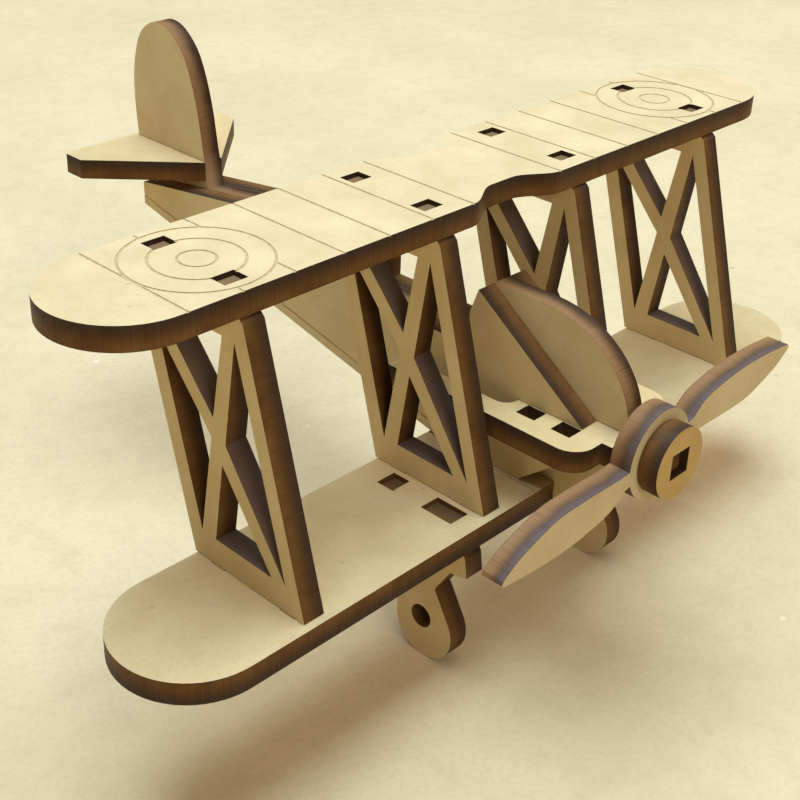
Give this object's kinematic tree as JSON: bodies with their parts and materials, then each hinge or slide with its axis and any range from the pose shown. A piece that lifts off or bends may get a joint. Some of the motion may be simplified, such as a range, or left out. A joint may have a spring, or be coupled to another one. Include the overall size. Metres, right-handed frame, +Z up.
{
  "type": "slot-together model biplane",
  "caption": "Slot-together wooden model biplane with braced struts, plate fuselage, fixed undercarriage and a propeller that spins.",
  "frame": {"origin": "middle of the bounding box, on the surface that the wheels stand on", "axes": "+X across the span towards the port wing tips, +Y towards the tail, +Z up; the aircraft stands level"},
  "size_m": [0.1258, 0.1048, 0.0662],
  "materials": {
    "wing_board": "bare fibreboard, matt faces with dark laser-burnt edges",
    "strut_board": "bare fibreboard, matt faces with dark laser-burnt edges",
    "fuselage_board": "bare fibreboard, matt faces with dark laser-burnt edges",
    "tail_board": "bare fibreboard, matt faces with dark laser-burnt edges",
    "propeller_board": "bare fibreboard, matt faces with dark laser-burnt edges",
    "undercarriage_board": "bare fibreboard, matt faces with dark laser-burnt edges"
  },
  "bodies": {
    "airframe": {"upper_wing": "wing_board", "lower_wing": "wing_board", "strut_starboard_outer": "strut_board", "strut_starboard_inner": "strut_board", "strut_port_inner": "strut_board", "strut_port_outer": "strut_board", "fuselage_centre_plate": "fuselage_board", "fuselage_starboard_plate": "fuselage_board", "fuselage_port_plate": "fuselage_board", "engine_deck": "fuselage_board", "tailplane": "tail_board", "propeller_retainer": "propeller_board", "undercarriage_starboard": "undercarriage_board", "undercarriage_port": "undercarriage_board"},
    "propeller": {"propeller": "propeller_board"}
  },
  "joints": [
    {"name": "propeller_spin", "type": "hinge", "parent": "airframe", "child": "propeller", "pos_m": [0, -0.048, 0.0329], "axis": [0, 1, 0], "continuous": true}
  ]
}
